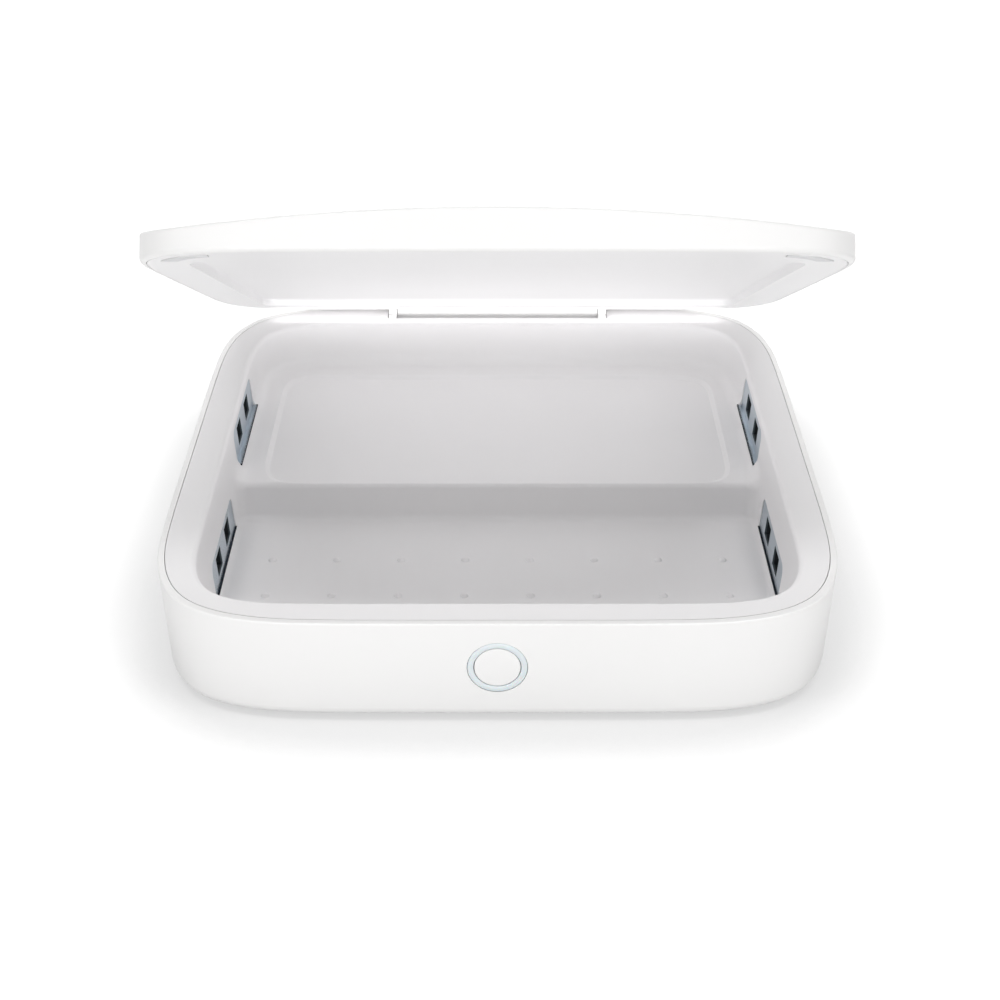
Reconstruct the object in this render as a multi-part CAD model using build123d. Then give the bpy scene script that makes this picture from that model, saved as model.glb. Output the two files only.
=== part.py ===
from build123d import *
import os
from math import cos, radians, sin, tan

# A phone sanitizer box: a low tub with a light-lined tray, and a domed lid on a rear barrel hinge.
# Origin: middle of the base, on the surface it stands on. +X right, +Y back, +Z up, millimetres.
# The lid stands part open at rest. Its pieces are built closed and swung about the hinge at the end.

# Outline shared by the base and the lid
box_width = 204.0
box_depth = 216.4
corner_size = 86.3
corner_power = 4.93
corner_steps = 8

# Heights and angles of the base
foot_height = 1.2
rim_height = 34.6
base_draft = 2.0
base_edge_radius = 3.6
lip_edge_radius = 0.4
cut_over = 1.0

# Outer shell
shell_wall = 3.2
lip_width = 1.9
ledge_depth = 2.4
cover_inset = 4.8
cover_thickness = 1.6
flange_inset = 6.6
flange_thickness = 3.0

# Tray
seam_gap = 0.2
tray_wall = 2.0
cavity_side_margin = 12.3
cavity_front_margin = 11.1
cavity_rear_margin = 15.9
cavity_corner = 52.8
cavity_draft = 4.0
rim_roll_radius = 1.5
floor_height = 5.5
floor_wall = 2.2
floor_edge_radius = 2.5
shelf_height = 18.4
shelf_wall = 3.2
shelf_front = 1.5
step_draft = 9.0
step_edge_radius = 2.0
shelf_edge_radius = 4.5

# Shallow bed for the phone on the shelf
bed_side_margin = 9.7
bed_front_margin = 0.5
bed_rear_margin = 11.3
bed_corner = 24.0
bed_sink = 0.9
bed_draft = 62.0

# Floor nubs
nub_columns = 8
nub_rows = 3
nub_side_margin = 16.2
nub_front_margin = 26.1
nub_radius = 1.6
nub_rise = 0.8

# Lamp reflectors in the side walls
reflector_length = 44.0
reflector_height = 11.6
reflector_corner = 3.0
reflector_sink = 0.3
reflector_flange = 1.4
reflector_flange_thickness = 1.2
window_clearance = 0.15
cup_length = 8.6
cup_height = 6.8
cup_pitch = 18.2
cup_hole = 4.6
cup_depth = 2.2
rear_reflector_y = 31.5
rear_reflector_z = 25.8
front_reflector_y = -32.5
front_reflector_z = 13.0
lamp_board_thickness = 1.2
lamp_board_margin = 1.0
lamp_size = 3.5
lamp_rise = 1.1
lamp_body_rise = 0.66
lamp_dome_radius = 0.99

# Lid
lid_gap = 0.4
lid_rise = 20.5
dome_radius = 660.0
lid_draft = 1.0
lid_wall = 2.8
lid_roof = 2.2
lid_lip_width = 1.8
lid_top_radius = 1.0
lid_foot_radius = 1.4
lid_rest_angle = 28.1
liner_rim = 2.4
liner_wall = 1.8
panel_side_margin = 15.0
panel_front_margin = 29.2
panel_rear_margin = 22.0
panel_corner = 16.0
panel_sink = 2.6
panel_edge_radius = 0.8
panel_draft = 6.0

# Bumper pads by the lid's front corners
bumper_inset = 4.6
bumper_width = 4.6
bumper_taper = 2.4
bumper_rise = 0.25
bumper_sink = 0.6
bumper_reach = 20.0

# Hinge
hinge_setback = 3.4
hinge_rise = 1.4
barrel_radius = 3.2
barrel_half = 38.3
ear_gap = 0.3
ear_width = 3.0
swing_gap = 0.35
trough_setback = 10.8
well_wall = 2.2
pin_radius = 1.0
pin_run_gap = 0.05
pin_fit_gap = 0.02
pin_length = 11.0
pin_chamfer = 0.25
relief_run = 2.6
relief_drop = 1.6
lid_relief_run = 4.0
lid_relief_rise = 3.6
hinge_block_margin = 4.0
hinge_screw_radius = 0.7
hinge_screw_head = 1.3
hinge_screw_spacing = 2.6
ear_screw_setback = 7.6

# Power button, its light ring and its switch
button_height = 19.3
ring_outer_radius = 8.55
ring_inner_radius = 6.75
ring_flange_radius = 9.9
ring_flange_thickness = 0.9
button_gap = 0.15
button_thickness = 2.6
button_flange_radius = 7.6
button_flange_thickness = 0.9
button_stem_radius = 1.6
switch_board_width = 28.0
switch_board_height = 17.0
switch_board_thickness = 1.0
switch_size = 6.0
switch_thickness = 1.2
switch_chamfer = 0.3
switch_stem_gap = 0.1
rail_width = 3.0
rail_grip = 1.4
sensor_width = 3.0
sensor_height = 2.0
sensor_thickness = 0.9
sensor_offset = 9.0

# Bottom cover, its screws and the feet
cover_gap = 0.2
foot_radius = 6.0
foot_seat = 0.8
foot_edge_radius = 0.6
foot_inset_x = 26.0
foot_inset_y = 26.2
screw_inset_x = 32.0
screw_front_y = 14.0
screw_rear_inset = 34.2
screw_head_radius = 2.6
screw_head_height = 1.4
screw_shank_radius = 1.15
screw_length = 8.0
screw_gap = 0.05
screw_pad_radius = 4.2
screw_pad_rise = 3.2
boss_radius = 3.0
boss_roof = 1.8

# Control board
board_width = 70.0
board_depth = 50.0
board_thickness = 1.6
board_front_y = 18.0
board_lift = 5.2
board_edge = 4.0
board_post_radius = 2.6
board_screw_radius = 0.95
board_screw_head = 1.9
board_screw_head_height = 1.3
board_screw_length = 5.0
chip_size = 9.0
chip_height = 1.4
coil_radius = 4.5
coil_height = 3.6
coil_chamfer = 0.75

# Power inlet at the back
inlet_height = 9.6
inlet_width = 9.0
inlet_thickness = 3.3
inlet_length = 7.4
inlet_wall = 0.4
inlet_gap = 0.2
inlet_recess = 1.2
inlet_recess_margin = 1.7
tongue_width = 6.6
tongue_thickness = 0.7
tongue_length = 5.2
inlet_board_width = 18.0
inlet_board_depth = 19.0
inlet_board_thickness = 1.0
peg_radius = 1.2
peg_spread = 6.5
peg_inset = 3.0
peg_head = 0.6

# Lid magnet
magnet_radius = 3.0
magnet_thickness = 2.0
magnet_seat_wall = 1.2
magnet_boss_radius = 4.5
magnet_inset = 9.2

# Sizes and places that follow from the ones above
half_width = box_width / 2
half_depth = box_depth / 2
ledge_height = rim_height - ledge_depth
cover_top = foot_height + cover_thickness
shelf_under = shelf_height - shelf_wall
lid_low = rim_height + lid_gap
lid_ledge = lid_low + liner_rim
lid_top = lid_low + lid_rise
hinge_y = half_depth - hinge_setback
hinge_z = rim_height + hinge_rise
trough_front = half_depth - trough_setback
ear_screw_y = half_depth - ear_screw_setback
trough_half = barrel_half + 2 * ear_gap + ear_width
ear_inner = barrel_half + ear_gap
switch_board_low = button_height - switch_board_height / 2
cavity_half = half_width - cavity_side_margin
cavity_front = half_depth - cavity_front_margin
cavity_rear = half_depth - cavity_rear_margin
tray_front = cavity_front + tray_wall
bed_front = bed_front_margin - shelf_front
bed_rear = cavity_rear - bed_rear_margin
nub_pitch = 2 * (cavity_half - nub_side_margin) / (nub_columns - 1)
panel_front = half_depth - panel_front_margin
panel_rear = half_depth - panel_rear_margin
foot_spread_x = half_width - foot_inset_x
foot_spread_y = half_depth - foot_inset_y
screw_spread_x = half_width - screw_inset_x
screw_rear_y = half_depth - screw_rear_inset
screw_seat = foot_height + screw_head_height + foot_seat
board_low = cover_top + board_lift
inlet_board_low = inlet_height - inlet_thickness / 2 - inlet_board_thickness
switch_board_front = -tray_front - switch_board_thickness
switch_face = switch_board_front - switch_thickness

# Outlines seen from above: half sizes, corner, and the middle's place along Y
box_outline = (half_width, half_depth, corner_size, 0.0)
cavity_outline = (cavity_half, (cavity_front + cavity_rear) / 2, cavity_corner,
                  (cavity_rear - cavity_front) / 2)
bed_outline = (cavity_half - bed_side_margin, (bed_rear - bed_front) / 2, bed_corner,
               (bed_rear + bed_front) / 2)
panel_outline = (half_width - panel_side_margin, (panel_front + panel_rear) / 2, panel_corner,
                 (panel_rear - panel_front) / 2)


def corner_points(size):
    """Points of one superellipse quarter, from the +X side round to the +Y side."""
    points = []
    for step in range(corner_steps + 1):
        angle = radians(90 * step / corner_steps)
        reach = (cos(angle) ** corner_power + sin(angle) ** corner_power) ** (1 / corner_power)
        points.append((size * cos(angle) / reach, size * sin(angle) / reach))
    return points


def level_face(outline, inset, height):
    """Flat face at a height: a rectangle with superellipse corners, drawn in by the inset."""
    half_x, half_y, corner, centre_y = outline
    size = corner - inset
    flat_x = half_x - corner
    flat_y = half_y - corner
    quarter = corner_points(size)
    curves = []
    for sign_x, sign_y in ((1, 1), (-1, 1), (-1, -1), (1, -1)):
        points = [(sign_x * (flat_x + x), centre_y + sign_y * (flat_y + y), height) for x, y in quarter]
        starts_on_side = sign_x * sign_y > 0
        tangents = ((0, sign_y, 0), (-sign_x, 0, 0))
        if not starts_on_side:
            points.reverse()
            tangents = ((sign_x, 0, 0), (0, -sign_y, 0))
        curves.append(Spline(points, tangents=tangents))
    edges = []
    for index, curve in enumerate(curves):
        edges.append(curve)
        following = curves[(index + 1) % 4]
        edges.append(Line(curve @ 1, following @ 0))
    return Face(Wire(edges))


def tapered(outline, inset, low, high, level, draft):
    """Solid between two heights whose sides lean out by the draft, true to the outline at the level."""
    ends = []
    for height in (low, high):
        lean = (level - height) * tan(radians(draft))
        ends.append(level_face(outline, inset + lean, height))
    return loft(ends, ruled=True)


def base_block(low, high, inset):
    return tapered(box_outline, inset, low, high, rim_height, base_draft)


def cavity_block(low, high, grow):
    return tapered(cavity_outline, -grow, low, high, rim_height, cavity_draft)


def lid_block(low, high, inset):
    return tapered(box_outline, inset, low, high, lid_low, -lid_draft)


def wall_setback(height, draft):
    return (rim_height - height) * tan(radians(draft))


def edges_at(body, height):
    return body.edges().filter_by_position(Axis.Z, height, height)


def block(x_range, y_range, z_range):
    """Box between three pairs of limits."""
    size = [high - low for low, high in (x_range, y_range, z_range)]
    low_corner = [low for low, high in (x_range, y_range, z_range)]
    return Pos(*low_corner) * Box(*size, align=(Align.MIN, Align.MIN, Align.MIN))


def post(x, y, low, high, radius):
    """Upright cylinder between two heights."""
    return Pos(x, y, low) * Cylinder(radius, high - low, align=(Align.CENTER, Align.CENTER, Align.MIN))


def rod_y(x, z, front, back, radius):
    """Cylinder along Y."""
    place = Pos(x, front, z) * Rot(-90, 0, 0)
    return place * Cylinder(radius, back - front, align=(Align.CENTER, Align.CENTER, Align.MIN))


def rod_x(y, z, left, right, radius):
    """Cylinder along X."""
    place = Pos(left, y, z) * Rot(0, 90, 0)
    return place * Cylinder(radius, right - left, align=(Align.CENTER, Align.CENTER, Align.MIN))


def side_prism(points, left, right):
    """Prism along X with a profile of (y, z) points."""
    outline = Polyline([(left, y, z) for y, z in points], close=True)
    return extrude(Face(Wire(outline.edges())), amount=right - left, dir=(1, 0, 0))


# Hinge cuts that the shell and the tray share

def hinge_trough():
    return block((-trough_half, trough_half), (trough_front, half_depth + cut_over),
                 (ledge_height, rim_height + cut_over))


def rear_relief():
    """Slope along the back rim that the lid's back edge swings over."""
    slope = relief_drop / relief_run
    front = (half_depth - relief_run - cut_over, rim_height + cut_over * slope)
    back = (half_depth + cut_over, rim_height - relief_drop - cut_over * slope)
    above = (half_depth + cut_over, rim_height + cut_over)
    return side_prism([front, back, above], -half_width, half_width)


# Base

def ring_bore():
    return rod_y(0, button_height, -half_depth - cut_over, -half_depth / 2, ring_outer_radius + button_gap)


def inlet_opening(margin, front, back):
    """Stadium-shaped prism along Y round the power inlet."""
    height = inlet_thickness + 2 * margin
    body = block((-(inlet_width + 2 * margin - height) / 2, (inlet_width + 2 * margin - height) / 2),
                 (front, back), (inlet_height - height / 2, inlet_height + height / 2))
    for side in (-1, 1):
        body += rod_y(side * (inlet_width + 2 * margin - height) / 2, inlet_height, front, back, height / 2)
    return body


def board_rails():
    """Rails on the shell's front wall that hold the switch board's side edges."""
    back = -tray_front
    rails = []
    for side in (-1, 1):
        inner = switch_board_width / 2 - rail_grip
        span = sorted((side * inner, side * (inner + rail_width)))
        rail = block(span, (-half_depth, back), (switch_board_low, switch_board_low + switch_board_height))
        slot = sorted((0, side * (switch_board_width / 2 + window_clearance)))
        rail -= block(slot, (back - switch_board_thickness - window_clearance, back + cut_over),
                      (switch_board_low - cut_over, switch_board_low + switch_board_height + cut_over))
        rails.append(rail)
    return rails


def outer_shell():
    flange_top = foot_height + flange_thickness
    body = base_block(foot_height, rim_height, 0)
    body = fillet(edges_at(body, foot_height), base_edge_radius)
    body = fillet(edges_at(body, rim_height), lip_edge_radius)
    body -= base_block(ledge_height, rim_height + cut_over, lip_width)
    body -= base_block(flange_top, ledge_height, shell_wall)
    body -= base_block(cover_top, flange_top, flange_inset)
    body -= base_block(foot_height - cut_over, cover_top, cover_inset)
    inside = base_block(foot_height, rim_height, shell_wall / 2)
    for rail in board_rails():
        body += rail & inside
    body -= hinge_trough()
    body -= rear_relief()
    body -= ring_bore()
    body -= inlet_opening(inlet_gap, half_depth / 2, half_depth + cut_over)
    mouth = half_depth - wall_setback(inlet_height, base_draft) - inlet_recess
    body -= inlet_opening(inlet_recess_margin, mouth, half_depth + cut_over)
    return body


def shelf_body():
    """Everything under the shelf top and behind the slanted step, as one prism."""
    lean = (shelf_height - floor_height + cut_over) * tan(radians(step_draft))
    top_front = (-shelf_front, shelf_height)
    low_front = (-shelf_front - lean, floor_height - cut_over)
    low_back = (half_depth, floor_height - cut_over)
    top_back = (half_depth, shelf_height)
    return side_prism([top_front, low_front, low_back, top_back], -half_width, half_width)


def cavity():
    """Air inside the tray, with its rounded floor edges and the step up to the shelf."""
    air = cavity_block(floor_height, rim_height + cut_over, 0) - shelf_body()
    step_top = edges_at(air, shelf_height).sort_by(Axis.Y)[0]
    air = fillet(step_top, step_edge_radius)
    air = fillet(edges_at(air, shelf_height), shelf_edge_radius)
    air = fillet(edges_at(air, floor_height), floor_edge_radius)
    return air


def under_shelf():
    """Room below the shelf, open downwards, for the electronics."""
    lean = (shelf_under - floor_height) * tan(radians(step_draft))
    start = -shelf_front + shelf_wall - lean
    return block((-half_width, half_width), (start, half_depth), (0, shelf_under))


def nubs():
    """Small domes on the front floor that hold things off it."""
    domes = []
    for row in range(nub_rows):
        for column in range(nub_columns):
            x = (column - (nub_columns - 1) / 2) * nub_pitch
            y = nub_front_margin - cavity_front + row * nub_pitch
            domes.append(Pos(x, y, floor_height + nub_rise - nub_radius) * Sphere(nub_radius))
    return domes


def wall_plane(side, y, z):
    """Plane on a cavity side wall: local X along the wall, Y up it, Z into the cavity."""
    x = cavity_half - wall_setback(z, cavity_draft)
    lean = radians(cavity_draft)
    return Plane(origin=(side * x, y, z), x_dir=(0, -side, 0), z_dir=(-side * cos(lean), 0, sin(lean)))


def reflector_outline(grow):
    """Reflector front: square lower corners, rounded upper corners."""
    face = Rectangle(reflector_length + 2 * grow, reflector_height + 2 * grow)
    return fillet(face.vertices().sort_by(Axis.Y)[-2:], reflector_corner + grow)


def window_cut():
    """Window through the wall, and the room behind it for the reflector's flange and lamp board."""
    window = Pos(0, 0, -tray_wall) * extrude(reflector_outline(window_clearance), amount=2 * tray_wall)
    margin = reflector_flange + window_clearance
    room = Rectangle(reflector_length + 2 * margin, reflector_height + 2 * margin)
    depth = reflector_flange_thickness + lamp_board_thickness + 2 * cut_over
    return window + Pos(0, 0, -tray_wall - depth) * extrude(room, amount=depth)


reflector_places = {
    "rear_left": (-1, rear_reflector_y, rear_reflector_z),
    "rear_right": (1, rear_reflector_y, rear_reflector_z),
    "front_left": (-1, front_reflector_y, front_reflector_z),
    "front_right": (1, front_reflector_y, front_reflector_z),
}


def ear_screw_spots():
    """Places (x, y) of the screws that hold both hinge ears."""
    middle = ear_inner + ear_width / 2
    spots = []
    for side in (-1, 1):
        for step in (-0.5, 0.5):
            spots.append((side * middle, ear_screw_y + step * hinge_screw_spacing))
    return spots


def cover_screw_spots():
    spots = []
    for side in (-1, 1):
        for y in (screw_front_y, screw_rear_y):
            spots.append((side * screw_spread_x, y))
    return spots


def inner_tray():
    tray = base_block(ledge_height, rim_height, lip_width + seam_gap)
    tray += cavity_block(floor_height - floor_wall, ledge_height + ledge_depth / 2, tray_wall)
    tray -= under_shelf()
    well = block((-trough_half - well_wall, trough_half + well_wall), (cavity_rear, half_depth),
                 (ledge_height - well_wall, ledge_height))
    tray += well & base_block(foot_height, rim_height, shell_wall + window_clearance)
    for x, y in cover_screw_spots():
        tray += post(x, y, cover_top + screw_pad_rise, shelf_height - boss_roof, boss_radius)
    tray -= cavity()
    tray -= tapered(bed_outline, 0, shelf_height - bed_sink, shelf_height + cut_over, shelf_height, bed_draft)
    rim_face = tray.faces().filter_by(Plane.XY).sort_by(Axis.Z)[-1]
    tray = fillet(rim_face.inner_wires()[0].edges(), rim_roll_radius)
    for dome in nubs():
        tray += dome
    for side, y, z in reflector_places.values():
        tray -= wall_plane(side, y, z) * window_cut()
    tray -= hinge_trough()
    tray -= rear_relief()
    for x, y in ear_screw_spots():
        tray -= post(x, y, ledge_height - well_wall - cut_over, rim_height, hinge_screw_radius + screw_gap)
    for x, y in cover_screw_spots():
        tray -= post(x, y, 0, cover_top + screw_pad_rise + screw_length, screw_shank_radius + screw_gap)
    return tray


def bottom_cover():
    cover = base_block(foot_height, cover_top, cover_inset + cover_gap)
    for x, y in cover_screw_spots():
        cover += post(x, y, cover_top, cover_top + screw_pad_rise - window_clearance, screw_pad_radius)
    for x, y in board_posts():
        cover += post(x, y, cover_top, board_low, board_post_radius)
    for x, y in inlet_posts():
        cover += post(x, y, cover_top, inlet_board_low, board_post_radius)
        cover += post(x, y, inlet_board_low, inlet_board_low + inlet_board_thickness + peg_head, peg_radius)
    for x, y in board_posts():
        low = board_low - board_screw_length
        cover -= post(x, y, low, board_low + cut_over, board_screw_radius + screw_gap)
    for x, y in cover_screw_spots():
        cover -= post(x, y, 0, screw_seat, screw_head_radius + window_clearance)
        cover -= post(x, y, 0, shelf_height, screw_shank_radius + window_clearance)
    for x, y in foot_spots():
        cover -= post(x, y, 0, foot_height + foot_seat, foot_radius + window_clearance)
    return cover


def screw(x, y, seat, head_radius, head_height, shank_radius, length, head_up):
    """Round-headed screw whose head bears on the seat height, with a driver recess."""
    turn = 1 if head_up else -1
    head_end = seat + turn * head_height
    shank_end = seat - turn * length
    body = post(x, y, min(seat, head_end), max(seat, head_end), head_radius)
    body += post(x, y, min(seat, shank_end), max(seat, shank_end), shank_radius)
    drive = Pos(x, y, head_end) * extrude(RegularPolygon(head_radius * 0.5, 6), amount=head_height / 2, both=True)
    return body - drive


def foot_spots():
    return [(x, y) for x in (-foot_spread_x, foot_spread_x) for y in (-foot_spread_y, foot_spread_y)]


def rubber_foot(x, y):
    foot = post(x, y, 0, foot_height + foot_seat, foot_radius)
    return fillet(edges_at(foot, 0), foot_edge_radius)


def board_posts():
    spots = []
    for side in (-1, 1):
        for y in (board_front_y + board_edge, board_front_y + board_depth - board_edge):
            spots.append((side * (board_width / 2 - board_edge), y))
    return spots


def inlet_board_back():
    """Back edge of the inlet board, just inside the shell's rear wall."""
    return half_depth - wall_setback(inlet_board_low, base_draft) - shell_wall - cover_gap


def inlet_posts():
    back = inlet_board_back() - peg_inset - inlet_length
    front = inlet_board_back() - inlet_board_depth + peg_inset
    return [(side * peg_spread, y) for side in (-1, 1) for y in (front, back)]


# Lamp units

def lamp_reflector(side, y, z):
    """Flanged reflector plate that fits a window in the tray, with two funnel-shaped cups."""
    back = tray_wall + window_clearance
    plate = Pos(0, 0, -back) * extrude(reflector_outline(0), amount=back - reflector_sink)
    flange = Rectangle(reflector_length + 2 * reflector_flange, reflector_height + 2 * reflector_flange)
    plate += Pos(0, 0, -reflector_back()) * extrude(flange, amount=reflector_flange_thickness)
    for step in (-0.5, 0.5):
        mouth = Pos(step * cup_pitch, 0, -reflector_sink) * Rectangle(cup_length, cup_height)
        root = Pos(step * cup_pitch, 0, -reflector_sink - cup_depth) * Rectangle(cup_hole, cup_hole)
        plate -= loft([root.face(), mouth.face()], ruled=True)
        hole = Pos(step * cup_pitch, 0, -reflector_back()) * Rectangle(cup_hole, cup_hole)
        plate -= extrude(hole, amount=reflector_back(), both=True)
    return wall_plane(side, y, z) * plate


def reflector_back():
    return tray_wall + window_clearance + reflector_flange_thickness


def lamp_board(side, y, z):
    length = reflector_length + 2 * (reflector_flange - lamp_board_margin)
    height = reflector_height + 2 * (reflector_flange - lamp_board_margin)
    back = -reflector_back() - lamp_board_thickness
    board = Pos(0, 0, back) * extrude(Rectangle(length, height), amount=lamp_board_thickness)
    return wall_plane(side, y, z) * board


def lamp(side, y, z, step):
    """Square lamp package with a small dome, soldered on its board behind a cup."""
    body = extrude(Rectangle(lamp_size, lamp_size), amount=lamp_body_rise)
    dome = Pos(0, 0, lamp_body_rise) * Sphere(lamp_dome_radius)
    body += dome & post(0, 0, lamp_rise / 2, lamp_rise * 2, lamp_size / 2)
    return wall_plane(side, y, z) * Pos(step * cup_pitch, 0, -reflector_back()) * body


# Hinge

def hinge_ear(side):
    """Block that fills one end of the trough and rises into a round knuckle for the pin."""
    back = hinge_y + barrel_radius
    inner = side * ear_inner
    outer = side * (ear_inner + ear_width)
    left = min(inner, outer)
    right = max(inner, outer)
    ear = block((left, right), (trough_front + ear_gap / 2, back), (ledge_height, rim_height))
    ear += block((left, right), (hinge_y - barrel_radius, back), (ledge_height, hinge_z))
    ear += rod_x(hinge_y, hinge_z, left, right, barrel_radius)
    ear -= rod_x(hinge_y, hinge_z, left - cut_over, right + cut_over, pin_radius + pin_fit_gap)
    for x, y in ear_screw_spots():
        ear -= post(x, y, 0, ledge_height + ledge_depth / 2, hinge_screw_radius + screw_gap)
    return ear


def hinge_pin(side):
    outer = side * (ear_inner + ear_width)
    inner = outer - side * pin_length
    pin = rod_x(hinge_y, hinge_z, min(inner, outer), max(inner, outer), pin_radius)
    return chamfer(pin.edges().filter_by(GeomType.CIRCLE), pin_chamfer)


# Lid, drawn closed

def dome_lens(drop):
    """Upper cap of the ball, wide enough to cover the box."""
    ball_radius = dome_radius - drop
    top = lid_top - drop
    centre = lid_top - dome_radius
    low = lid_low - cut_over
    reach = (ball_radius ** 2 - (low - centre) ** 2) ** 0.5
    arc = ThreePointArc((0, 0, top), (reach / 2, 0, centre + (ball_radius ** 2 - reach ** 2 / 4) ** 0.5),
                        (reach, 0, low))
    outline = Wire([arc, Line((reach, 0, low), (0, 0, low)), Line((0, 0, low), (0, 0, top))])
    return revolve(Face(outline), Axis.Z)


def lid_rear_relief():
    """Slope under the lid's back edge, so that it can swing down behind the hinge."""
    slope = lid_relief_rise / lid_relief_run
    front = (half_depth - lid_relief_run - cut_over, lid_low - cut_over * slope)
    back = (half_depth + cut_over, lid_low + lid_relief_rise + cut_over * slope)
    below = (half_depth + cut_over, lid_low - cut_over * slope)
    return side_prism([front, back, below], -half_width, half_width)


def ear_slot(side):
    """Room in the lid for one ear, through the whole swing."""
    middle = side * (ear_inner + ear_width / 2)
    left = middle - ear_width / 2 - ear_gap
    right = middle + ear_width / 2 + ear_gap
    reach = barrel_radius + swing_gap
    slot = rod_x(hinge_y, hinge_z, left, right, reach)
    slot += block((left, right), (hinge_y - reach, half_depth + cut_over), (lid_low - cut_over, hinge_z))
    slot += block((left, right), (hinge_y, half_depth + cut_over), (lid_low - cut_over, hinge_z + reach))
    return slot


def hinge_block_zone(grow):
    """Back middle of the lid, where solid material carries the barrel and the pins."""
    half = trough_half + hinge_block_margin + grow
    return block((-half, half), (hinge_y - barrel_radius - grow, half_depth + cut_over),
                 (lid_low - cut_over, lid_top))


def lid_outer():
    body = lid_block(lid_low, lid_top + cut_over, 0) & dome_lens(0)
    top_edges = body.edges().filter_by(lambda edge: (edge @ 0.5).Z > lid_low + lid_top_radius * 2)
    top_edges = [edge for edge in top_edges if abs((edge @ 0).Z - (edge @ 1).Z) < lid_top_radius * 3]
    body = fillet(top_edges, lid_top_radius)
    return fillet(edges_at(body, lid_low), lid_foot_radius)


def lid_shell():
    hollow = lid_block(lid_low - cut_over, lid_ledge, lid_lip_width)
    hollow += lid_block(lid_ledge, lid_top, lid_wall) & dome_lens(lid_roof)
    body = lid_outer() - (hollow - hinge_block_zone(0))
    body -= lid_rear_relief()
    body += rod_x(hinge_y, hinge_z, -barrel_half, barrel_half, barrel_radius)
    for side in (-1, 1):
        body -= ear_slot(side)
        outer_end = side * (ear_inner + ear_width)
        inner_end = outer_end - side * (pin_length + ear_gap)
        body -= rod_x(hinge_y, hinge_z, min(inner_end, outer_end), max(inner_end, outer_end),
                      pin_radius + pin_run_gap)
    return body


def panel_recess(low, sink, grow):
    """Shallow pan with leaning sides, as air or, grown by a wall, as the liner's raised middle."""
    return tapered(panel_outline, -grow, low, lid_low + sink, lid_low, -panel_draft)


def lid_liner():
    """Flat rim plate with a pan raised in its middle."""
    plate = lid_block(lid_low, lid_ledge, lid_lip_width + seam_gap)
    plate += panel_recess(lid_low, panel_sink + liner_wall, liner_wall)
    air = panel_recess(lid_low - cut_over, panel_sink, 0)
    air = fillet(edges_at(air, lid_low + panel_sink), panel_edge_radius)
    plate -= air
    plate -= hinge_block_zone(seam_gap)
    plate -= lid_rear_relief()
    for side in (-1, 1):
        plate -= bumper(side, bumper_sink, window_clearance)
    x, y = magnet_spot()
    plate += post(x, y, lid_ledge, lid_ledge + magnet_thickness - magnet_seat_wall, magnet_boss_radius)
    plate -= post(x, y, lid_low + magnet_seat_wall, lid_top, magnet_radius + window_clearance)
    return plate


def magnet_spot():
    return sensor_offset, magnet_inset - half_depth


def bumper(side, sink, grow):
    """Crescent pad let into the liner, following the box's front corner and thinning along the front."""
    rise = 0 if grow else bumper_rise
    band = lid_block(lid_low - rise, lid_low + sink, bumper_inset - grow)
    inner = lid_block(lid_low - rise - cut_over, lid_low + sink + cut_over, bumper_inset + bumper_width + grow)
    band -= Pos(0, -bumper_taper, 0) * inner
    reach_x = half_width - bumper_inset
    reach_y = half_depth - bumper_inset
    zone = block(sorted((side * (reach_x - bumper_reach - grow), side * half_width)),
                 (-half_depth, -reach_y + bumper_reach + grow), (lid_low - cut_over, lid_low + sink))
    return band & zone


def lid_magnet():
    x, y = magnet_spot()
    low = lid_low + magnet_seat_wall
    return post(x, y, low, low + magnet_thickness, magnet_radius)


# Power button group, stacked from the front wall back to the tray

def wall_front(height):
    return -half_depth + wall_setback(height, base_draft)


ring_back = wall_front(button_height) + shell_wall + ring_flange_thickness
button_flange_back = ring_back + button_gap + button_flange_thickness


def light_ring():
    """Light guide whose front follows the wall, with a flange that bears on the wall's inside."""
    front = wall_front(button_height) - cut_over
    body = rod_y(0, button_height, front, ring_back, ring_outer_radius)
    body = body & base_block(foot_height, rim_height, 0)
    flange = rod_y(0, button_height, front, ring_back, ring_flange_radius)
    body += flange & base_block(foot_height, rim_height, shell_wall)
    return body - rod_y(0, button_height, front, ring_back + cut_over, ring_inner_radius)


def power_button():
    """Disc with a flange that stops behind the ring, and a stem that carries the switch's plunger."""
    front = wall_front(button_height) - cut_over
    disc_back = wall_front(button_height) + button_thickness
    body = rod_y(0, button_height, front, button_flange_back, ring_inner_radius - button_gap)
    body = body & base_block(foot_height, rim_height, 0)
    hollow = ring_inner_radius - button_gap - button_thickness / 2
    body += rod_y(0, button_height, ring_back + button_gap, button_flange_back, button_flange_radius)
    body -= rod_y(0, button_height, disc_back, button_flange_back + cut_over, hollow)
    body += rod_y(0, button_height, disc_back, switch_face - switch_stem_gap, button_stem_radius)
    return body


def switch_board():
    half = switch_board_width / 2
    return block((-half, half), (switch_board_front, -tray_front),
                 (switch_board_low, switch_board_low + switch_board_height))


def tact_switch():
    half = switch_size / 2
    body = block((-half, half), (switch_face, switch_board_front),
                 (button_height - half, button_height + half))
    body = chamfer(body.edges().filter_by(Axis.Y), switch_chamfer)
    return body - rod_y(0, button_height, switch_face - cut_over, switch_face + switch_thickness / 2,
                        button_stem_radius + button_gap)


def lid_sensor():
    half = sensor_width / 2
    top = switch_board_low + switch_board_height - sensor_thickness
    return block((sensor_offset - half, sensor_offset + half),
                 (switch_board_front - sensor_thickness, switch_board_front), (top - sensor_height, top))


# Electronics under the shelf

def control_board():
    board = block((-board_width / 2, board_width / 2), (board_front_y, board_front_y + board_depth),
                  (board_low, board_low + board_thickness))
    board = fillet(board.edges().filter_by(Axis.Z), board_edge / 2)
    for x, y in board_posts():
        board -= post(x, y, 0, shelf_height, board_screw_radius + window_clearance)
    return board


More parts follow.
